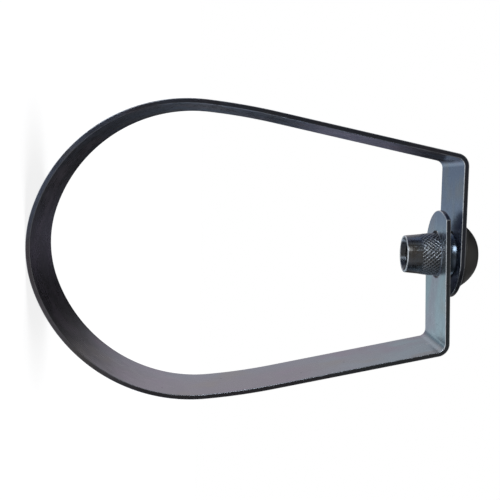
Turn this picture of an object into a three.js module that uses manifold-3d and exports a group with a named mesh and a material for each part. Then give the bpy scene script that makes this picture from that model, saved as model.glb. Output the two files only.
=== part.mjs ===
// Swivel loop hanger for pipe: a strip bent into a pear-shaped loop whose two ends overlap as tabs,
// and the threaded nut that passes through the hole in each tab.
//
// Millimetres. +Z runs up the nut's axis, which is the axis of the rod that it takes, Y runs along
// the pipe and X across it. The origin is on the nut's axis, in the mouth of its thread at the very
// top. The strip is drawn as a line in the XZ plane that follows its outer surface.

import * as THREE from 'three';
import { mergeVertices } from 'three/addons/utils/BufferGeometryUtils.js';
import Module from 'manifold-3d';

// Strip
const STRIP_WIDTH = 25;
const STRIP_THICKNESS = 1.5;

// Loop. Each half climbs from the lowest point: seat arc, side arc, a slight shoulder, straight arm.
const SEAT_RADIUS = 39.2;
const SEAT_TURN = 19.2; // degrees
const SIDE_RADIUS = 52.4;
const SIDE_TURN = 76.5;
const SHOULDER_RADIUS = 210;
const ARM_LEAN = 12; // degrees from upright
const LOOP_SHIFT = -0.95; // X of the loop's centre line: the tabs put the nut slightly off centre

// Tabs. Heights are the tab's outer face, on the nut's axis, above the lowest point of the loop.
const OUTER_TAB_HEIGHT = 139.8;
const INNER_TAB_HEIGHT = 135.1;
const INNER_TAB_LEAN = 1.7; // degrees that the inner tab droops towards its end
const BEND_RADIUS = 4.2; // on the outside of each bend
const TAB_REACH = 14.8; // from the nut's axis to the crown of the rounded end
const TAB_END_RADIUS = 16.5;
const END_SHIFT = 3.5; // the rounded ends are cut askew: off centre in Y, one tab's each way
const TAB_HOLE_RADIUS = 7.95;

// Nut, from the top down
const HEAD_HEIGHT = 6.7; // above the outer tab
const HEAD_GAP = 0.3; // running clearance between the head and the outer tab
const HEAD_RADIUS = 11;
const FLANGE_THICKNESS = 1.1;
const CROWN_RADIUS = 4.8; // flat rim around the upper mouth, at the top of the dome
const CROWN_FLATNESS = 1.5; // 1 makes the dome's side a quarter ellipse, 2 a straight cone
const NECK_RADIUS = 7.4;
const KNURL_RADIUS = 7.1;
const KNURL_LENGTH = 6.2;
const KNURL_SWELL = 4.4; // height over which the shank swells to the knurl's full radius
const SHANK_TOP_RADIUS = 6.6;
const SHANK_END_RADIUS = 6.2;
const SMOOTH_LENGTH = 4.7; // plain end below the knurl
const LOWER_RIM_RADIUS = 5.95;
const BORE_RADIUS = 4.25; // over the crests of an M10 thread
const UPPER_MOUTH_RADIUS = 4.4; // a hair wider than the thread
const LOWER_MOUTH_RADIUS = 5.55; // wide, steep lead-in cone, up to the thread
const LEAD_IN_DEPTH = 3;
const NUT_LENGTH = 23.6;
const EDGE_BREAK = 0.3; // small chamfers on the flange and between knurl and neck

// Smoothness of round stretches
const ARC_STEP = 3; // degrees
const BEND_STEP = 13;
const HOLE_SIDES = 48;
const END_SIDES = 96;
const NUT_SIDES = 64;
const DOME_STEPS = 8;

const CUT_MARGIN = 1; // how far a cutting block stands past the metal it clears
const WELD_TOLERANCE = 1e-5;

const LOWEST_Z = -(HEAD_HEIGHT + OUTER_TAB_HEIGHT);

const wasm = await Module();
wasm.setup();

const radians = THREE.MathUtils.degToRad;

function toSolid(geometry) {
  const bare = geometry.clone();
  bare.deleteAttribute('normal');
  bare.deleteAttribute('uv');
  const merged = mergeVertices(bare, WELD_TOLERANCE);
  const mesh = new wasm.Mesh({
    numProp: 3,
    vertProperties: new Float32Array(merged.attributes.position.array),
    triVerts: new Uint32Array(merged.index.array),
  });
  return new wasm.Manifold(mesh);
}

function toGeometry(solid) {
  const mesh = solid.getMesh();
  const geometry = new THREE.BufferGeometry();
  geometry.setAttribute('position', new THREE.BufferAttribute(mesh.vertProperties, 3));
  geometry.setIndex(new THREE.BufferAttribute(mesh.triVerts, 1));
  geometry.computeVertexNormals();
  return geometry;
}

// A pen that walks along the strip's outer surface and notes each point with the way it is heading.
// Headings are angles from +X towards +Z, and every turn is to the left.
function pen(x, z) {
  const trail = [{ x, z, heading: 0 }];
  const last = () => trail[trail.length - 1];
  const arc = (radius, turn, step) => {
    const count = Math.ceil(turn / step);
    for (let i = 0; i < count; i += 1) {
      const from = last();
      const heading = from.heading + radians(turn / count);
      trail.push({
        x: from.x + radius * (Math.sin(heading) - Math.sin(from.heading)),
        z: from.z + radius * (Math.cos(from.heading) - Math.cos(heading)),
        heading,
      });
    }
  };
  const line = (length) => {
    const from = last();
    trail.push({
      x: from.x + length * Math.cos(from.heading),
      z: from.z + length * Math.sin(from.heading),
      heading: from.heading,
    });
  };
  return { trail, last, arc, line };
}

// One half of the loop, climbing on the +X side of the loop's centre line. axisX is where the nut's
// axis lies, height and lean say where the tab's outer face runs.
function halfLoop({ axisX, height, lean }) {
  const walk = pen(0, 0);
  walk.arc(SEAT_RADIUS, SEAT_TURN, ARC_STEP);
  walk.arc(SIDE_RADIUS, SIDE_TURN, ARC_STEP);
  walk.arc(SHOULDER_RADIUS, 90 + ARM_LEAN - SEAT_TURN - SIDE_TURN, ARC_STEP);

  const foot = walk.last();
  const tabHeading = radians(180 + lean);
  const turn = tabHeading - foot.heading;
  // Distance up the arm's line to the tab's line, and from there along the tab to the nut's axis.
  const along = (dx, dz, heading) => dx * Math.sin(heading) - dz * Math.cos(heading);
  const armLine = along(axisX - foot.x, height - foot.z, tabHeading) / Math.sin(turn);
  const tabLine = along(axisX - foot.x, height - foot.z, foot.heading) / -Math.sin(turn);
  const bendLine = BEND_RADIUS * Math.tan(turn / 2);

  walk.line(armLine - bendLine);
  walk.arc(BEND_RADIUS, THREE.MathUtils.radToDeg(turn), BEND_STEP);
  walk.line(tabLine - bendLine + TAB_REACH);
  return walk.trail;
}

// The same point on the strip's inner surface.
function insideOf({ x, z, heading }) {
  return {
    x: x - STRIP_THICKNESS * Math.sin(heading),
    z: z + STRIP_THICKNESS * Math.cos(heading),
  };
}

function stripOutline(innerSide, outerSide) {
  const mirrored = ({ x, z }) => ({ x: -x, z });
  const outer = [...outerSide.map(mirrored).reverse(), ...innerSide.slice(1)];
  const inner = [
    ...outerSide.map(insideOf).map(mirrored).reverse(),
    ...innerSide.map(insideOf).slice(1),
  ];
  return [...outer, ...inner.reverse()].map(
    ({ x, z }) => new THREE.Vector2(x + LOOP_SHIFT, z + LOWEST_Z),
  );
}

// Extrudes a figure drawn in the XZ plane across the strip's width.
function acrossWidth(outline) {
  const flat = new THREE.ExtrudeGeometry(new THREE.Shape(outline), {
    depth: STRIP_WIDTH,
    bevelEnabled: false,
  });
  flat.rotateX(Math.PI / 2);
  flat.translate(0, STRIP_WIDTH / 2, 0);
  return toSolid(flat);
}

function uprightCylinder(radius, sides, y = 0) {
  const geometry = new THREE.CylinderGeometry(radius, radius, 4 * STRIP_THICKNESS, sides);
  geometry.rotateX(Math.PI / 2);
  geometry.translate(0, y, 0);
  return toSolid(geometry);
}

// What is taken from a tab that lies flat at the origin and ends towards +X: its hole, and the
// corners outside its rounded end.
function tabCutter(endShift) {
  const depth = 3 * STRIP_THICKNESS;
  const centreX = TAB_REACH - TAB_END_RADIUS;
  const reach = TAB_END_RADIUS + CUT_MARGIN;
  const blank = new THREE.BoxGeometry(reach, 2 * STRIP_WIDTH, depth);
  blank.translate(centreX + reach / 2, 0, 0);
  const end = uprightCylinder(TAB_END_RADIUS, END_SIDES, endShift).translate([centreX, 0, 0]);
  const hole = uprightCylinder(TAB_HOLE_RADIUS, HOLE_SIDES);
  return toSolid(blank).subtract(end).add(hole);
}

function makeBand() {
  const innerSide = halfLoop({
    axisX: -LOOP_SHIFT,
    height: INNER_TAB_HEIGHT,
    lean: INNER_TAB_LEAN,
  });
  const outerSide = halfLoop({ axisX: LOOP_SHIFT, height: OUTER_TAB_HEIGHT, lean: 0 });
  const strip = acrossWidth(stripOutline(innerSide, outerSide));

  const middle = STRIP_THICKNESS / 2;
  const outerCut = tabCutter(END_SHIFT).translate([0, 0, LOWEST_Z + OUTER_TAB_HEIGHT - middle]);
  const innerCut = tabCutter(-END_SHIFT)
    .mirror([1, 0, 0])
    .rotate([0, -INNER_TAB_LEAN, 0])
    .translate([0, 0, LOWEST_Z + INNER_TAB_HEIGHT - middle]);
  return toGeometry(strip.subtract(outerCut).subtract(innerCut));
}

// Side of the head's dome, from the flange's edge up to the flat crown, as [radius, Z] corners.
function domeSide(lowRadius, lowZ) {
  const side = [];
  for (let i = 0; i <= DOME_STEPS; i += 1) {
    const angle = (i / DOME_STEPS) * (Math.PI / 2);
    side.push([
      CROWN_RADIUS + (lowRadius - CROWN_RADIUS) * Math.cos(angle) ** CROWN_FLATNESS,
      lowZ * (1 - Math.sin(angle) ** CROWN_FLATNESS),
    ]);
  }
  return side;
}

// Half-section of the nut, as [radius, Z] corners, once round the metal.
function nutSection() {
  const underHead = -HEAD_HEIGHT + HEAD_GAP;
  const flangeTop = underHead + FLANGE_THICKNESS;
  const flangeEdge = HEAD_RADIUS - EDGE_BREAK;
  const bottom = -NUT_LENGTH;
  const knurlBottom = bottom + SMOOTH_LENGTH;
  const knurlTop = knurlBottom + KNURL_LENGTH;
  const section = [
    [BORE_RADIUS, bottom + LEAD_IN_DEPTH],
    [LOWER_MOUTH_RADIUS, bottom],
    [LOWER_RIM_RADIUS, bottom],
    [SHANK_END_RADIUS, bottom + SHANK_END_RADIUS - LOWER_RIM_RADIUS],
    [SHANK_TOP_RADIUS, knurlBottom],
    [KNURL_RADIUS, knurlBottom + KNURL_SWELL],
    [KNURL_RADIUS, knurlTop],
    [NECK_RADIUS, knurlTop + EDGE_BREAK],
    [NECK_RADIUS, underHead],
    [flangeEdge, underHead],
    [HEAD_RADIUS, underHead + EDGE_BREAK],
    [HEAD_RADIUS, flangeTop - EDGE_BREAK],
    ...domeSide(flangeEdge, flangeTop),
    [UPPER_MOUTH_RADIUS, 0],
    [BORE_RADIUS, BORE_RADIUS - UPPER_MOUTH_RADIUS],
  ];
  return [...section, section[0]].map(([radius, z]) => new THREE.Vector2(radius, z));
}

function makeSwivelNut() {
  const geometry = new THREE.LatheGeometry(nutSection(), NUT_SIDES);
  geometry.rotateX(Math.PI / 2);
  return geometry;
}

const zincPlate = new THREE.MeshStandardMaterial({ color: 0x7c8490, roughness: 0.38, metalness: 1 });
const darkZinc = new THREE.MeshStandardMaterial({ color: 0x5b5a58, roughness: 0.42, metalness: 1 });

const hanger = new THREE.Group();

const band = new THREE.Mesh(makeBand(), zincPlate);
band.name = 'band';
hanger.add(band);

const swivelNut = new THREE.Mesh(makeSwivelNut(), darkZinc);
swivelNut.name = 'swivel_nut';
hanger.add(swivelNut);

export default hanger;
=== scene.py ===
"""Looks of the swivel loop hanger: a zinc-plated strip bent into a loop, and its knurled nut.

The two CAD solids are replaced by fine meshes of the same size: the strip with broken edges, and
the nut with its real thread and knurl. Lengths are millimetres until a mesh is made, and metres
from then on.
"""

import math

import bmesh
import bpy
from mathutils import Matrix, Vector


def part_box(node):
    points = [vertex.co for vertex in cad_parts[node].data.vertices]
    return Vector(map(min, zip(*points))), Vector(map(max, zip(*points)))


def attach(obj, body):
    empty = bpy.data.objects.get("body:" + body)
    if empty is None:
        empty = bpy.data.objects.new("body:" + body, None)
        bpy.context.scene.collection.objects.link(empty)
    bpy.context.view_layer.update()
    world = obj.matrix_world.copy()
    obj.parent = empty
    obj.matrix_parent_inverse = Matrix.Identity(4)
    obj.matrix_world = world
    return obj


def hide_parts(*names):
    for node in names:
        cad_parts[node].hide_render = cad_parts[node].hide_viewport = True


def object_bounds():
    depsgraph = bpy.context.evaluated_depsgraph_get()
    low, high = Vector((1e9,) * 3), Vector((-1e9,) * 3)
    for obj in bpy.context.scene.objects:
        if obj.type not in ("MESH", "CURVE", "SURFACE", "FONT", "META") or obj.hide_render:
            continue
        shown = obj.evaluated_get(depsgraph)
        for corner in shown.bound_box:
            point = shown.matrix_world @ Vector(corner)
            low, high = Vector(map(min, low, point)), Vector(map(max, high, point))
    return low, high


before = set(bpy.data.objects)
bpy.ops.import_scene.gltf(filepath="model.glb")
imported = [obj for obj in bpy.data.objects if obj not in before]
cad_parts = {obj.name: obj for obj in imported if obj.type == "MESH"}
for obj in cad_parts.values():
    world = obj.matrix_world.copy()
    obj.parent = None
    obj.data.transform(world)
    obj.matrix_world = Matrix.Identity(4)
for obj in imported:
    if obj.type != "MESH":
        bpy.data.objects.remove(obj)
cad_low, cad_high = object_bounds()

MM = 0.001
LOWEST_Z = cad_low.z / MM

# Strip
STRIP_WIDTH = (cad_high.y - cad_low.y) / MM
STRIP_THICKNESS = 1.5
EDGE_RADIUS = 0.22
EDGE_SEGMENTS = 3
EDGE_CORNER = 40  # degrees. Sharper corners than this are broken
EDGE_SLOT = 1  # marks the faces of the broken edges while the strip is made
SIDE_NORMAL = 0.9  # least share of Y in the normal of a sheared side
WALL_NORMAL = 0.5  # most share of Z in the normal of a wall cut through a tab

# Loop, as on the CAD solid: seat arc, side arc, a slight shoulder, straight arm
SEAT_RADIUS = 39.2
SEAT_TURN = 19.2
SIDE_RADIUS = 52.4
SIDE_TURN = 76.5
SHOULDER_RADIUS = 210
ARM_LEAN = 12
LOOP_SHIFT = -0.95
LOOP_STEP = 1.0  # degrees between stations along a round stretch
BEND_STEP = 5.0

# Tabs
OUTER_TAB_Z = -6.7
INNER_TAB_Z = -11.4
INNER_TAB_LEAN = 1.7
BEND_RADIUS = 4.2
TAB_REACH = 14.8
TAB_END_RADIUS = 16.5
END_SHIFT = 3.5
TAB_HOLE_RADIUS = 7.95
ROUND_SIDES = 160

# Nut, from the top down
NUT_LENGTH = -(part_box("swivel_nut")[0].z) / MM
HEAD_UNDERSIDE = -6.4
HEAD_RADIUS = 11
FLANGE_THICKNESS = 1.1
CROWN_RADIUS = 4.8
CROWN_FLATNESS = 1.5
NECK_RADIUS = 7.4
KNURL_RADIUS = 7.1
KNURL_LENGTH = 6.2
KNURL_SWELL = 4.4
SHANK_TOP_RADIUS = 6.6
SHANK_END_RADIUS = 6.2
SMOOTH_LENGTH = 4.7
LOWER_RIM_RADIUS = 5.95
RIM_WEAR = 0.3  # height of the bright, rubbed metal round the lower mouth
HEAD_FILLET = 0.25
END_FILLET = 0.15
FILLET_STEPS = 4
FILLET_SHARE = 0.45  # most of a side's length that a fillet may take
UPPER_MOUTH_RADIUS = 4.4
LOWER_MOUTH_RADIUS = 5.55
LEAD_IN_DEPTH = 3
FLANGE_LEDGE = 0.35  # flat of the flange outside the dome
DOME_STEPS = 24
GENTLE_CORNER = 150  # degrees. Corners flatter than this stay as they are
NUT_COLUMNS = 400

# Knurl: two crossed families of ridges, with diamond pits between them
KNURL_STARTS = 32
KNURL_DEPTH = 0.22
KNURL_RIDGE = 0.45  # share of the pitch that a ridge takes
KNURL_FADE = 0.6  # height over which the pits run out
CREST_POLISH = 2  # power that keeps the rubbed metal on the ridges
PIT_SHADE_POWER = 4  # power that keeps the painted shade in the pits

# Thread in the nut
THREAD_PITCH = 1.5
CREST_RADIUS = 4.25
LEAD_IN_SLOPE = (LOWER_MOUTH_RADIUS - CREST_RADIUS) / LEAD_IN_DEPTH
ROOT_RADIUS = 5.0
THREAD_ROWS = 8  # mesh rows for each turn
HALF_CREST = 0.125  # half of the crest's flat, as a share of the pitch
FLANK = 0.3125  # one sloping side, as a share of the pitch

# Colours of the plating on the strip, and of the shade painted on it
LILAC_FILM = (0.35, 0.33, 0.36, 1)
STEEL_BLUE_FILM = (0.33, 0.36, 0.41, 1)
BLUE_FILM = (0.37, 0.45, 0.49, 1)
# Violet film tint, painted darker as shade
VIOLET_FILM_AND_SHADE = (0.27, 0.31, 0.42, 1)
# Painted shade on the outer tab's end, under the inner tab and the nut
NAVY_SHADE = (0.10, 0.13, 0.19, 1)
# Painted shade on the seat at the bottom of the loop
SEAT_SHADE = (0.14, 0.135, 0.14, 1)
PINK_FILM = (0.37, 0.32, 0.38, 1)
TAN_FILM = (0.37, 0.34, 0.31, 1)
PIT_COLOUR = (0.03, 0.03, 0.035, 1)
SCRATCH_COLOUR = (0.62, 0.64, 0.68, 1)
# Raw steel of the sheared sides, with painted shade
SHEARED_STEEL_AND_SHADE = (0.06, 0.06, 0.07, 1)
WORN_METAL = (0.68, 0.70, 0.73, 1)

# Colours of the plating on the nut, and of the shade painted on it
BROWN_FILM = (0.27, 0.25, 0.23, 1)
GREY_FILM = (0.27, 0.29, 0.32, 1)
# Painted shade: the head's brown film, painted darker
HEAD_SHADED_FILM = (0.175, 0.168, 0.16, 1)
# Painted shade with a painted blue bounce, on the neck between the tabs
NECK_SHADED_FILM = (0.20, 0.24, 0.29, 1)
# Painted shade inside the bore
BORE_SHADE = (0.05, 0.06, 0.075, 1)
# Painted shade for the knurl's pits
KNURL_PIT_SHADE = (0.04, 0.04, 0.045, 1)

# Where a colour or a mark sets in and where it is full, in metres: Z for heights, X or Y for sides
BLUE_HEIGHTS = (-0.06, -0.02)
VIOLET_SIDES = (0.0, -0.014)
OUTER_TAB_HEIGHTS = (-0.0105, -0.0085)
OUTER_END_SIDES = (0.004, 0.012)
FAR_SIDES = (-0.002, 0.011)
SEAT_HEIGHTS = (-0.118, -0.138)
BEND_SIDES = (0.024, 0.029)
BEND_HEIGHTS = (-0.022, -0.017)
# Painted shade on the cut faces grows from the seat upwards
EDGE_SHADE_HEIGHTS = (-0.135, -0.105)
RUBBED_HEIGHTS = (-0.03, -0.015)
HEAD_HEIGHTS = (-0.0068, -0.0060)
NECK_HEIGHTS = (-0.0135, -0.0125)
BORE_RADII = (0.00550, 0.00535)
BORE_HEIGHTS = (-0.0006, -0.0012)
HEIGHT_DRIFT = 0.05  # how far the clouds move a change of colour up or down
SIDE_DRIFT = 0.02
STRIP_RELIEF = 0.00002
NUT_RELIEF = 0.000006
NOISE_MIDDLE = (0.3, 0.7)  # the stretch that nearly all of a noise lies in

# Camera
CAMERA_AT = (-22.93, -233.45, -77.92)
CAMERA_AZIMUTH = 5.46  # degrees from +Y towards +X
CAMERA_ELEVATION = 0.657
CAMERA_ROLL = 90.724
CAMERA_LENS = 50.4
CAMERA_SENSOR = 36
CAMERA_NEAR = 0.01

# Stage. A panel is its azimuth from +Y towards +X, elevation, radius of the even middle and outer
# radius, all in degrees, and its colour.
FLOOR_RADIUS = 0.9
FLOOR_SIDES = 96
FLOOR_GLOW = 0.86
FLOOR_PAINT = (0.12, 0.12, 0.122, 1)
OVERHEAD_STRENGTH = 5.0
OVERHEAD_SPREAD = 75
ROOM_COLOUR = (0.02, 0.02, 0.022, 1)
PANELS = (
    (-30, -6, 5, 32, (0.62, 0.61, 0.66)),
    (16, -34, 12, 36, (0.13, 0.15, 0.16)),
    (10, -18, 3, 12, (0.35, 0.43, 0.46)),
    (24, -26, 6, 20, (0.38, 0.44, 0.50)),
    (-2, -18, 3, 10, (0.12, 0.18, 0.25)),
    (30, -12, 6, 18, (0.15, 0.17, 0.20)),
    (5, 7, 2, 6, (0.42, 0.40, 0.54)),
    (71, -17, 8, 22, (1.40, 1.60, 1.80)),
    (-85, 14, 14, 40, (0.33, 0.36, 0.40)),
    (-145, -17, 6, 14, (6.4, 7.2, 8.0)),
    (180, 15, 25, 70, (0.13, 0.128, 0.126)),
    (180, 62, 20, 50, (0.08, 0.077, 0.074)),
    (0, 84, 12, 30, (0.15, 0.155, 0.16)),
    (0, -90, 30, 58, (1.00, 1.04, 1.08)),
    (40, 32, 12, 26, (0.24, 0.24, 0.24)),
    (90, 38, 8, 28, (0.20, 0.21, 0.22)),
    (-55, -28, 12, 30, (0.42, 0.44, 0.48)),
    (135, -20, 12, 34, (0.12, 0.13, 0.15)),
)


# ---------------------------------------------------------------- meshes


def new_object(name, vertices, faces):
    """A mesh object from points in millimetres."""
    mesh = bpy.data.meshes.new(name)
    mesh.from_pydata([Vector(v) * MM for v in vertices], [], faces)
    mesh.validate()
    thing = bpy.data.objects.new(name, mesh)
    bpy.context.scene.collection.objects.link(thing)
    return thing


def face_outwards(thing):
    work = bmesh.new()
    work.from_mesh(thing.data)
    bmesh.ops.recalc_face_normals(work, faces=work.faces)
    work.to_mesh(thing.data)
    work.free()


def settle(thing):
    """Turns the modifiers' result into the mesh itself."""
    evaluated = thing.evaluated_get(bpy.context.evaluated_depsgraph_get())
    mesh = bpy.data.meshes.new_from_object(evaluated)
    thing.modifiers.clear()
    thing.data = mesh
    return thing


class Pen:
    """Walks along the strip's outer surface in the XZ plane. Headings turn from +X towards +Z."""

    def __init__(self):
        self.trail = [(0.0, 0.0, 0.0)]

    def arc(self, radius, turn, step):
        count = math.ceil(turn / step)
        for _ in range(count):
            x, z, heading = self.trail[-1]
            after = heading + math.radians(turn / count)
            x += radius * (math.sin(after) - math.sin(heading))
            z += radius * (math.cos(heading) - math.cos(after))
            self.trail.append((x, z, after))

    def line(self, length):
        x, z, heading = self.trail[-1]
        x += length * math.cos(heading)
        z += length * math.sin(heading)
        self.trail.append((x, z, heading))


def half_loop(axis_x, height, lean):
    """One half of the loop, climbing on the +X side, up to the crown of its tab's rounded end."""
    pen = Pen()
    pen.arc(SEAT_RADIUS, SEAT_TURN, LOOP_STEP)
    pen.arc(SIDE_RADIUS, SIDE_TURN, LOOP_STEP)
    pen.arc(SHOULDER_RADIUS, 90 + ARM_LEAN - SEAT_TURN - SIDE_TURN, LOOP_STEP / 2)
    foot_x, foot_z, arm = pen.trail[-1]
    tab = math.radians(180 + lean)
    turn = tab - arm
    dx = axis_x - foot_x
    dz = height - foot_z
    arm_line = (dx * math.sin(tab) - dz * math.cos(tab)) / math.sin(turn)
    tab_line = -(dx * math.sin(arm) - dz * math.cos(arm)) / math.sin(turn)
    bend_line = BEND_RADIUS * math.tan(turn / 2)
    pen.line(arm_line - bend_line)
    pen.arc(BEND_RADIUS, math.degrees(turn), BEND_STEP)
    pen.line(tab_line - bend_line + TAB_REACH)
    return pen.trail


def strip_sections():
    """Pairs of points, outer and inner, along the strip from the outer tab to the inner tab."""
    inner_side = half_loop(-LOOP_SHIFT, INNER_TAB_Z - LOWEST_Z, INNER_TAB_LEAN)
    outer_side = half_loop(LOOP_SHIFT, OUTER_TAB_Z - LOWEST_Z, 0)

    def section(station, side):
        x, z, heading = station
        inside_x = x - STRIP_THICKNESS * math.sin(heading)
        inside_z = z + STRIP_THICKNESS * math.cos(heading)
        return [(side * a + LOOP_SHIFT, b + LOWEST_Z) for a, b in ((x, z), (inside_x, inside_z))]

    left = [section(station, -1) for station in reversed(outer_side)]
    right = [section(station, 1) for station in inner_side[1:]]
    return left + right


def plain_strip():
    half = STRIP_WIDTH / 2
    vertices = []
    for (ox, oz), (ix, iz) in strip_sections():
        vertices += [(ox, -half, oz), (ox, half, oz), (ix, half, iz), (ix, -half, iz)]
    faces = [(0, 1, 2, 3)]
    for start in range(0, len(vertices) - 4, 4):
        for corner in range(4):
            after = (corner + 1) % 4
            faces.append((start + corner, start + after, start + 4 + after, start + 4 + corner))
    last = len(vertices) - 4
    faces.append((last + 3, last + 2, last + 1, last))
    strip = new_object("band_shell", vertices, faces)
    face_outwards(strip)
    return strip


def prism(outline, low, high):
    """Vertices and faces of an upright prism over a closed outline."""
    count = len(outline)
    vertices = [(x, y, low) for x, y in outline] + [(x, y, high) for x, y in outline]
    faces = [tuple(range(count)), tuple(range(count, 2 * count))]
    for i in range(count):
        j = (i + 1) % count
        faces.append((i, j, count + j, count + i))
    return vertices, faces


def tab_cutter(name, end_shift, towards, lean, z):
    """What is cut from a tab: its round hole, and the corners outside its rounded end."""
    depth = 2 * STRIP_THICKNESS
    turn = 2 * math.pi / ROUND_SIDES
    hole = [
        (TAB_HOLE_RADIUS * math.cos(i * turn), TAB_HOLE_RADIUS * math.sin(i * turn))
        for i in range(ROUND_SIDES)
    ]
    centre = TAB_REACH - TAB_END_RADIUS
    quarter = ROUND_SIDES // 4
    crown = [
        (
            centre + TAB_END_RADIUS * math.cos(i * turn),
            end_shift + TAB_END_RADIUS * math.sin(i * turn),
        )
        for i in range(-quarter, quarter + 1)
    ]
    clear = TAB_END_RADIUS + STRIP_WIDTH
    far = TAB_REACH + STRIP_THICKNESS
    corners = [(centre, clear), (far, clear), (far, -clear), (centre, -clear)]
    vertices, faces = [], []
    for outline in (hole, crown + corners):
        more, shapes = prism(outline, -depth, depth)
        faces += [tuple(len(vertices) + k for k in shape) for shape in shapes]
        vertices += more
    place = (
        Matrix.Translation((0, 0, z - STRIP_THICKNESS / 2))
        @ Matrix.Rotation(math.radians(lean), 4, "Y")
        @ Matrix.Diagonal((towards, 1, 1, 1))
    )
    cutter = new_object(name, [place @ Vector(v) for v in vertices], faces)
    face_outwards(cutter)
    return cutter


def is_cut(face):
    """Whether a face is one of the strip's sheared sides, or the wall of a hole or rounded end."""
    on_tab = abs(face.center.x) < TAB_END_RADIUS * MM
    return abs(face.normal.y) > SIDE_NORMAL or (on_tab and abs(face.normal.z) < WALL_NORMAL)


def is_rubbed(face):
    """Whether a face belongs to a rounded edge, other than those round the tabs' holes."""
    from_axis = math.hypot(face.center.x, face.center.y) / MM
    return face.material_index == EDGE_SLOT and from_axis >= TAB_HOLE_RADIUS + 2 * EDGE_RADIUS


def make_band():
    band = plain_strip()
    cutters = [
        tab_cutter("outer_cut", END_SHIFT, 1, 0, OUTER_TAB_Z),
        tab_cutter("inner_cut", -END_SHIFT, -1, -INNER_TAB_LEAN, INNER_TAB_Z),
    ]
    for cutter in cutters:
        cut = band.modifiers.new(cutter.name, "BOOLEAN")
        cut.operation = "DIFFERENCE"
        cut.solver = "EXACT"
        cut.object = cutter
    settle(band)
    for cutter in cutters:
        bpy.data.objects.remove(cutter)
    bevel = band.modifiers.new("edges", "BEVEL")
    bevel.width = EDGE_RADIUS * MM
    bevel.segments = EDGE_SEGMENTS
    bevel.limit_method = "ANGLE"
    bevel.angle_limit = math.radians(EDGE_CORNER)
    bevel.harden_normals = True
    bevel.material = EDGE_SLOT
    for _ in range(EDGE_SLOT + 1):
        band.data.materials.append(None)
    band.data.shade_smooth()
    settle(band)
    for name in ("wear_and_pit_shade", "cut"):
        band.data.attributes.new(name, "FLOAT", "FACE")
    wear_and_pit_shade = band.data.attributes["wear_and_pit_shade"].data
    cut = band.data.attributes["cut"].data
    for face in band.data.polygons:
        wear_and_pit_shade[face.index].value = is_rubbed(face)
        cut[face.index].value = is_cut(face)
        face.material_index = 0
    return band


def fillet(points, radius):
    """The same [radius, z] line with each sharp inner corner rounded off."""
    line = [Vector(points[0])]
    for before, corner, after in zip(points, points[1:], points[2:]):
        corner = Vector(corner)
        back = Vector(before) - corner
        on = Vector(after) - corner
        if back.angle(on) > math.radians(GENTLE_CORNER):
            line.append(corner)
            continue
        reach = min(radius, back.length * FILLET_SHARE, on.length * FILLET_SHARE)
        start = corner + back.normalized() * reach
        end = corner + on.normalized() * reach
        for i in range(FILLET_STEPS + 1):
            t = i / FILLET_STEPS
            line.append(start * (1 - t) ** 2 + corner * (2 * t * (1 - t)) + end * t**2)
    line.append(Vector(points[-1]))
    return line


def ridge(phase):
    """1 on the crest of a ridge and 0 in the pit beside it, for a phase in turns."""
    return max(0.0, 1 - abs(phase - round(phase)) * 2 / KNURL_RIDGE)


def knurl_lines(column, z):
    """How far a spot on the shank stands up out of the knurl's pits, from 0 to 1."""
    turn = column / NUT_COLUMNS
    climb = z / (2 * math.pi * KNURL_RADIUS)
    return max(ridge(KNURL_STARTS * (turn + climb)), ridge(KNURL_STARTS * (turn - climb)))


def knurl_ring(z, low, high):
    """One ring of the knurl: its ridges are rubbed bright, and the mark below 0 is painted shade in
    its pits.
    """
    lines = [knurl_lines(column, z) for column in range(NUT_COLUMNS)]
    fade = min(1.0, (z - low) / KNURL_FADE, (high - z) / KNURL_FADE)
    swell = math.sin(math.pi / 2 * min(1.0, (z - low) / KNURL_SWELL))
    surface = SHANK_TOP_RADIUS + (KNURL_RADIUS - SHANK_TOP_RADIUS) * swell
    radii = [surface - KNURL_DEPTH * fade * (1 - line) for line in lines]
    return radii, z, [fade * (line**CREST_POLISH - (1 - line) ** PIT_SHADE_POWER) for line in lines]


def thread_radius(column, z):
    """A 60-degree thread with flat crests and rounded roots, opened out at both mouths."""
    phase = (z / THREAD_PITCH - column / NUT_COLUMNS) % 1
    rise = min(1.0, max(0.0, (0.5 - abs(phase - 0.5) - HALF_CREST) / FLANK))
    radius = CREST_RADIUS + (ROOT_RADIUS - CREST_RADIUS) * rise
    lead_in = LOWER_MOUTH_RADIUS - (z + NUT_LENGTH) * LEAD_IN_SLOPE
    return max(radius, UPPER_MOUTH_RADIUS + z, lead_in)


def dome_side(low_radius, low_z):
    """Side of the head's dome as [radius, z] points, from the flat crown down to the flange."""
    side = []
    for i in range(DOME_STEPS + 1):
        angle = math.pi / 2 * (1 - i / DOME_STEPS)
        radius = CROWN_RADIUS + (low_radius - CROWN_RADIUS) * math.cos(angle) ** CROWN_FLATNESS
        side.append((radius, low_z * (1 - math.sin(angle) ** CROWN_FLATNESS)))
    return side


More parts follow.
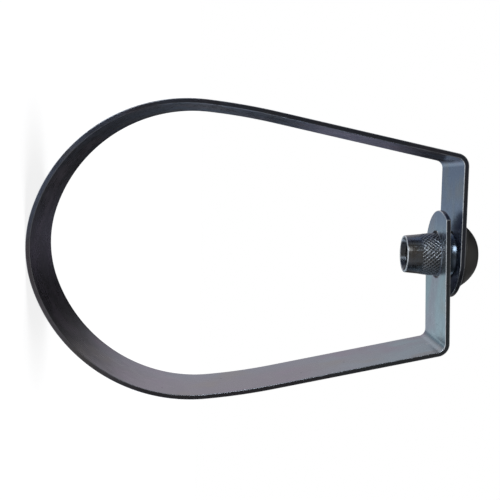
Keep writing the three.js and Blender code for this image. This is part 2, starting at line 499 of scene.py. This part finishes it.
def nut_rings():
    """Rings down the outside and up the bore of the nut: radii, height, and the rubbed metal and
    painted pit shade of each.
    """
    bottom = -NUT_LENGTH
    knurl_low = bottom + SMOOTH_LENGTH
    knurl_high = knurl_low + KNURL_LENGTH
    flange_top = HEAD_UNDERSIDE + FLANGE_THICKNESS
    head = [(UPPER_MOUTH_RADIUS, 0), *dome_side(HEAD_RADIUS - FLANGE_LEDGE, flange_top)]
    flange = [(HEAD_RADIUS, flange_top), (HEAD_RADIUS, HEAD_UNDERSIDE)]
    neck = [(NECK_RADIUS, HEAD_UNDERSIDE), (NECK_RADIUS, knurl_high)]
    above = fillet([*head, *flange, *neck], HEAD_FILLET)
    below = fillet(
        [
            (SHANK_TOP_RADIUS, knurl_low),
            (SHANK_END_RADIUS, bottom + SHANK_END_RADIUS - LOWER_RIM_RADIUS),
            (LOWER_RIM_RADIUS, bottom),
            (LOWER_MOUTH_RADIUS, bottom),
        ],
        END_FILLET,
    )
    columns = range(NUT_COLUMNS)

    def plain_ring(radius, z, wear_and_shade=0.0):
        return [radius] * NUT_COLUMNS, z, [wear_and_shade] * NUT_COLUMNS

    rings = [plain_ring(r, z) for r, z in above]
    rows = round(KNURL_LENGTH / (2 * math.pi * KNURL_RADIUS / NUT_COLUMNS))
    for row in range(rows + 1):
        rings.append(knurl_ring(knurl_high - KNURL_LENGTH * row / rows, knurl_low, knurl_high))
    rings += [plain_ring(r, z, float(z < bottom + RIM_WEAR)) for r, z in below[1:]]
    rows = round(NUT_LENGTH / THREAD_PITCH * THREAD_ROWS)
    for row in range(1, rows):
        z = bottom + NUT_LENGTH * row / rows
        rings.append(([thread_radius(c, z) for c in columns], z, [0.0] * NUT_COLUMNS))
    return rings


def make_nut():
    rings = nut_rings()
    vertices = []
    wear_and_shade = []
    for radii, z, wear_and_pit_shade in rings:
        wear_and_shade += wear_and_pit_shade
        for column, radius in enumerate(radii):
            angle = 2 * math.pi * column / NUT_COLUMNS
            vertices.append((radius * math.cos(angle), radius * math.sin(angle), z))
    faces = []
    for ring in range(len(rings)):
        here = ring * NUT_COLUMNS
        there = (ring + 1) % len(rings) * NUT_COLUMNS
        for column in range(NUT_COLUMNS):
            beside = (column + 1) % NUT_COLUMNS
            faces.append((here + column, here + beside, there + beside, there + column))
    nut = new_object("nut_shell", vertices, faces)
    face_outwards(nut)
    nut.data.shade_smooth()
    # The mark holds the rubbed crests and rim, and painted shade in the knurl's pits below 0.
    nut.data.attributes.new("wear_and_pit_shade", "FLOAT", "POINT").data.foreach_set("value", wear_and_shade)
    return nut


# ---------------------------------------------------------------- materials


class Nodes:
    """Builds a node tree: each call makes one node and links whatever is given for its inputs."""

    def __init__(self, tree):
        tree.nodes.clear()
        self.tree = tree

    def add(self, kind, settings=None, **inputs):
        node = self.tree.nodes.new(kind)
        for name, value in (settings or {}).items():
            setattr(node, name, value)
        for name, value in inputs.items():
            self.feed(node, name.replace("_", " "), value)
        return node

    def feed(self, node, name, value):
        socket = node.inputs[int(name)] if name.isdigit() else node.inputs[name]
        if isinstance(value, bpy.types.NodeSocket):
            self.tree.links.new(value, socket)
        else:
            socket.default_value = value

    def math(self, operation, a, b=0.0):
        node = self.add("ShaderNodeMath", {"operation": operation})
        self.feed(node, "0", a)
        self.feed(node, "1", b)
        return node.outputs[0]

    def span(self, value, low, high, to_low=0.0, to_high=1.0):
        """A smooth change from one number to another, while the value goes from low to high."""
        node = self.add(
            "ShaderNodeMapRange",
            {"interpolation_type": "SMOOTHSTEP"},
            Value=value,
            From_Min=low,
            From_Max=high,
            To_Min=to_low,
            To_Max=to_high,
        )
        return node.outputs["Result"]

    def vary(self, noise, least, most):
        """A number that follows a noise between two limits."""
        return self.span(noise, *NOISE_MIDDLE, least, most)

    def mix(self, share, a, b, blend="MIX"):
        node = self.add("ShaderNodeMix", {"data_type": "RGBA", "blend_type": blend})
        self.feed(node, "0", share)
        self.feed(node, "6", a)
        self.feed(node, "7", b)
        return node.outputs[2]

    def stretched(self, source, scale, turn=(0, 0, 0)):
        angles = tuple(math.radians(a) for a in turn)
        return self.add("ShaderNodeMapping", Vector=source, Rotation=angles, Scale=scale).outputs[0]

    def mark(self, name):
        """The value of one of the mesh's own attributes."""
        return self.add("ShaderNodeAttribute", {"attribute_name": name}).outputs["Fac"]

    def noise(self, source, scale, detail=3.0, roughness=0.55):
        settings = {"Scale": scale, "Detail": detail, "Roughness": roughness}
        return self.add("ShaderNodeTexNoise", Vector=source, **settings).outputs[0]


def new_material(name):
    material = bpy.data.materials.new(name)
    material.use_nodes = True
    return material, Nodes(material.node_tree)


def finish_metal(nodes, colour, roughness, height, distance):
    bump = nodes.add("ShaderNodeBump", Height=height, Distance=distance, Strength=1.0)
    shader = nodes.add(
        "ShaderNodeBsdfPrincipled",
        Base_Color=colour,
        Roughness=roughness,
        Metallic=1.0,
        Normal=bump.outputs[0],
    )
    nodes.add("ShaderNodeOutputMaterial", Surface=shader.outputs[0])


def zinc_plate():
    """Zinc-plated cold-rolled strip. Its chromate film turns from lilac grey to blue and violet.
    Painted shade darkens the -X half, the outer tab's end, the seat and the sheared sides.
    """
    material, n = new_material("zinc_plate")
    place = n.add("ShaderNodeTexCoord").outputs["Object"]
    parts = n.add("ShaderNodeSeparateXYZ", Vector=place).outputs
    clouds = n.noise(place, scale=38, detail=4)
    tint = n.noise(n.stretched(place, (1, 1, 1), turn=(20, 40, 10)), scale=55, detail=2)
    blotch = n.noise(place, scale=260, detail=5, roughness=0.65)
    streaks = n.noise(n.stretched(place, (30, 1500, 30)), scale=1, detail=3, roughness=0.6)
    grain = n.noise(place, scale=2600, detail=2)

    drift = n.math("MULTIPLY", n.math("SUBTRACT", clouds, 0.5), HEIGHT_DRIFT)
    height = n.math("ADD", parts[2], drift)
    drift = n.math("MULTIPLY", n.math("SUBTRACT", tint, 0.5), SIDE_DRIFT)
    side = n.math("ADD", parts[0], drift)
    outer_tab = n.span(parts[2], *OUTER_TAB_HEIGHTS)
    outer_end = n.math("MULTIPLY", outer_tab, n.span(parts[0], *OUTER_END_SIDES, 0, 0.7))
    wide_face = n.math("SUBTRACT", 1.0, n.mark("cut"))
    # Painted shade: the wide faces round the seat, darkened towards the bottom of the loop.
    seat = n.math("MULTIPLY", wide_face, n.span(height, *SEAT_HEIGHTS, 0, 0.75))
    film = n.mix(n.span(parts[1], *FAR_SIDES, 0, 0.6), LILAC_FILM, STEEL_BLUE_FILM)
    film = n.mix(n.span(height, *BLUE_HEIGHTS), film, BLUE_FILM)
    # The -X half and the outer tab: partly violet film tint, partly painted shade.
    film = n.mix(n.math("MAXIMUM", n.span(side, *VIOLET_SIDES), outer_tab), film, VIOLET_FILM_AND_SHADE)
    # Painted shade on the end of the outer tab past the nut, in the shade of the nut and the inner
    # tab.
    film = n.mix(outer_end, film, NAVY_SHADE)
    film = n.mix(seat, film, SEAT_SHADE)
    film = n.mix(n.span(tint, 0.50, 0.68, 0, 0.7), film, PINK_FILM)
    film = n.mix(n.span(tint, 0.46, 0.32, 0, 0.5), film, TAN_FILM)
    shade = n.math("MULTIPLY", n.vary(streaks, 0.92, 1.06), n.vary(blotch, 0.94, 1.05))
    colour = n.mix(1.0, film, shade, "MULTIPLY")

    specks = n.add("ShaderNodeTexVoronoi", Vector=place, Scale=420.0)
    rare = n.span(specks.outputs["Color"], 0.80, 0.84)
    pits = n.math("MULTIPLY", n.span(specks.outputs["Distance"], 0.16, 0.08), rare)
    colour = n.mix(n.math("MULTIPLY", pits, 0.6), colour, PIT_COLOUR)

    threads = n.stretched(place, (260, 260, 60), turn=(35, 25, 50))
    thin = n.noise(threads, scale=1, detail=2, roughness=0.4)
    line = n.math("ABSOLUTE", n.math("SUBTRACT", thin, 0.5))
    bend = n.math("MULTIPLY", n.span(parts[0], *BEND_SIDES), n.span(parts[2], *BEND_HEIGHTS))
    handled = n.span(n.noise(place, scale=90, detail=2), 0.56, 0.66)
    scratches = n.math("MULTIPLY", n.span(line, 0.006, 0.001), n.math("MAXIMUM", handled, bend))
    bright = n.math("MULTIPLY", scratches, n.span(bend, 0, 1, 0.35, 0.8))
    colour = n.mix(bright, colour, SCRATCH_COLOUR)

    # The cut faces are darkened: partly their raw sheared steel, partly painted shade, which is
    # strongest above the seat.
    sheared = n.math("MULTIPLY", n.mark("cut"), n.span(height, *EDGE_SHADE_HEIGHTS, 0.1, 0.8))
    colour = n.mix(sheared, colour, SHEARED_STEEL_AND_SHADE)
    wear_and_pit_shade = n.math("MULTIPLY", n.mark("wear_and_pit_shade"), n.span(blotch, 0.35, 0.5, 0.45, 1.0))
    wear_and_pit_shade = n.math("MULTIPLY", wear_and_pit_shade, n.span(parts[2], *RUBBED_HEIGHTS, 0.35, 1.0))
    colour = n.mix(wear_and_pit_shade, colour, WORN_METAL)

    roughness = n.math("ADD", n.vary(blotch, 0.25, 0.34), n.vary(streaks, -0.03, 0.04))
    relief = n.math("ADD", n.math("MULTIPLY", streaks, 0.5), n.math("MULTIPLY", grain, 0.3))
    relief = n.math("SUBTRACT", relief, n.math("MULTIPLY", pits, 1.6))
    relief = n.math("SUBTRACT", relief, n.math("MULTIPLY", scratches, 0.5))
    finish_metal(n, colour, roughness, relief, STRIP_RELIEF)
    return material


def dark_zinc():
    """Zinc-plated turned steel: darker and browner, with fine tool marks round the axis. Painted
    shade darkens its head, its neck between the tabs, its bore and its knurl's pits.
    """
    material, n = new_material("dark_zinc")
    place = n.add("ShaderNodeTexCoord").outputs["Object"]
    parts = n.add("ShaderNodeSeparateXYZ", Vector=place).outputs
    squares = n.math("ADD", n.math("POWER", parts[0], 2.0), n.math("POWER", parts[1], 2.0))
    radius = n.math("SQRT", squares)
    rings = n.add("ShaderNodeCombineXYZ", X=radius, Z=parts[2]).outputs[0]
    turned = n.noise(n.stretched(rings, (4200, 1, 4200)), scale=1, detail=2, roughness=0.6)
    clouds = n.noise(place, scale=170, detail=4)
    blotch = n.noise(place, scale=700, detail=4, roughness=0.65)

    head = n.span(parts[2], *HEAD_HEIGHTS)
    neck = n.math("SUBTRACT", n.span(parts[2], *NECK_HEIGHTS), head)
    bore = n.math("MULTIPLY", n.span(radius, *BORE_RADII), n.span(parts[2], *BORE_HEIGHTS))
    film = n.mix(n.span(clouds, 0.36, 0.62), BROWN_FILM, GREY_FILM)
    # Painted shade darkens the head over its brown film.
    film = n.mix(head, film, HEAD_SHADED_FILM)
    # Painted shade: the neck between the tabs is painted darker and bluer, with a painted blue
    # bounce from the tabs.
    film = n.mix(neck, film, NECK_SHADED_FILM)
    # Painted shade darkens the inside of the bore.
    film = n.mix(n.math("MULTIPLY", bore, 0.55), film, BORE_SHADE)
    shade = n.math("MULTIPLY", n.vary(turned, 0.92, 1.06), n.vary(blotch, 0.92, 1.05))
    colour = n.mix(1.0, film, shade, "MULTIPLY")
    # Painted shade: the mark's part below 0 darkens the knurl's pits.
    colour = n.mix(n.math("MULTIPLY", n.mark("wear_and_pit_shade"), -0.6), colour, KNURL_PIT_SHADE)
    wear_and_pit_shade = n.math("MULTIPLY", n.mark("wear_and_pit_shade"), n.span(blotch, 0.35, 0.55, 0.7, 1.0))
    colour = n.mix(wear_and_pit_shade, colour, WORN_METAL)

    roughness = n.math("ADD", n.vary(blotch, 0.24, 0.33), n.vary(turned, -0.03, 0.03))
    roughness = n.math("ADD", roughness, n.math("MULTIPLY", head, 0.2))
    relief = n.math("ADD", n.math("MULTIPLY", turned, 0.6), n.math("MULTIPLY", blotch, 0.3))
    finish_metal(n, colour, roughness, relief, NUT_RELIEF)
    return material


# ---------------------------------------------------------------- stage


def make_floor():
    """A pale disc with a faint shadow. The metal doesn't mirror it: the panels stand in for it."""
    work = bmesh.new()
    bmesh.ops.create_circle(work, cap_ends=True, radius=FLOOR_RADIUS, segments=FLOOR_SIDES)
    mesh = bpy.data.meshes.new("floor")
    work.to_mesh(mesh)
    work.free()
    floor = bpy.data.objects.new("floor", mesh)
    floor.location.z = cad_low.z
    floor.visible_glossy = False
    bpy.context.scene.collection.objects.link(floor)
    material, n = new_material("pale_floor")
    glow = n.add("ShaderNodeEmission", Color=(1, 1, 1, 1), Strength=FLOOR_GLOW)
    paint = n.add("ShaderNodeBsdfDiffuse", Color=FLOOR_PAINT)
    both = n.add("ShaderNodeAddShader")
    n.feed(both, "0", glow.outputs[0])
    n.feed(both, "1", paint.outputs[0])
    n.add("ShaderNodeOutputMaterial", Surface=both.outputs[0])
    mesh.materials.append(material)


def towards(azimuth, elevation):
    """Unit vector. Azimuth turns from +Y towards +X, elevation is above the horizon, in degrees."""
    a, e = math.radians(azimuth), math.radians(elevation)
    return Vector((math.sin(a) * math.cos(e), math.cos(a) * math.cos(e), math.sin(e)))


def make_world():
    """White to the eye. The metal sees a dark room with the soft panels."""
    world = bpy.data.worlds.new("studio")
    world.use_nodes = True
    bpy.context.scene.world = world
    n = Nodes(world.node_tree)
    direction = n.add("ShaderNodeTexCoord").outputs["Generated"]
    room = ROOM_COLOUR
    for azimuth, elevation, inner, outer, colour in PANELS:
        dot = n.add("ShaderNodeVectorMath", {"operation": "DOT_PRODUCT"})
        n.feed(dot, "0", direction)
        n.feed(dot, "1", towards(azimuth, elevation))
        edges = math.cos(math.radians(outer)), math.cos(math.radians(inner))
        room = n.mix(n.span(dot.outputs["Value"], *edges), room, (*colour, 1), "ADD")
    unseen = n.add("ShaderNodeBackground", Color=room, Strength=1.0)
    seen = n.add("ShaderNodeBackground", Color=(1, 1, 1, 1), Strength=1.0)
    both = n.add("ShaderNodeMixShader", Fac=n.add("ShaderNodeLightPath").outputs["Is Camera Ray"])
    n.feed(both, "1", unseen.outputs[0])
    n.feed(both, "2", seen.outputs[0])
    n.add("ShaderNodeOutputWorld", Surface=both.outputs[0])


def make_overhead():
    """Soft light from straight above. It whitens the floor, and the metal doesn't mirror it."""
    light = bpy.data.lights.new("overhead", "SUN")
    light.energy = OVERHEAD_STRENGTH
    light.angle = math.radians(OVERHEAD_SPREAD)
    thing = bpy.data.objects.new("overhead", light)
    thing.visible_glossy = False
    thing.visible_camera = False
    bpy.context.scene.collection.objects.link(thing)


def make_camera():
    data = bpy.data.cameras.new("camera")
    data.lens = CAMERA_LENS
    data.sensor_width = CAMERA_SENSOR
    data.clip_start = CAMERA_NEAR
    camera = bpy.data.objects.new("camera", data)
    ahead = towards(CAMERA_AZIMUTH, CAMERA_ELEVATION)
    level = ahead.cross(Vector((0, 0, 1))).normalized()
    upright = level.cross(ahead)
    roll = math.radians(CAMERA_ROLL)
    right = level * math.cos(roll) + upright * math.sin(roll)
    up = right.cross(ahead)
    axes = Matrix((right, up, -ahead)).transposed().to_4x4()
    camera.matrix_world = Matrix.Translation(Vector(CAMERA_AT) * MM) @ axes
    bpy.context.scene.collection.objects.link(camera)
    bpy.context.scene.camera = camera


# ---------------------------------------------------------------- the scene

pieces = (
    (make_band(), "band", "zinc_plate", zinc_plate()),
    (make_nut(), "swivel_nut", "dark_zinc", dark_zinc()),
)
for piece, node, slot, material in pieces:
    piece.data.materials.clear()
    piece.data.materials.append(material)
    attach(piece, node)
    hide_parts(node)

make_floor()
make_world()
make_overhead()
make_camera()
bpy.context.scene.view_settings.view_transform = "Standard"
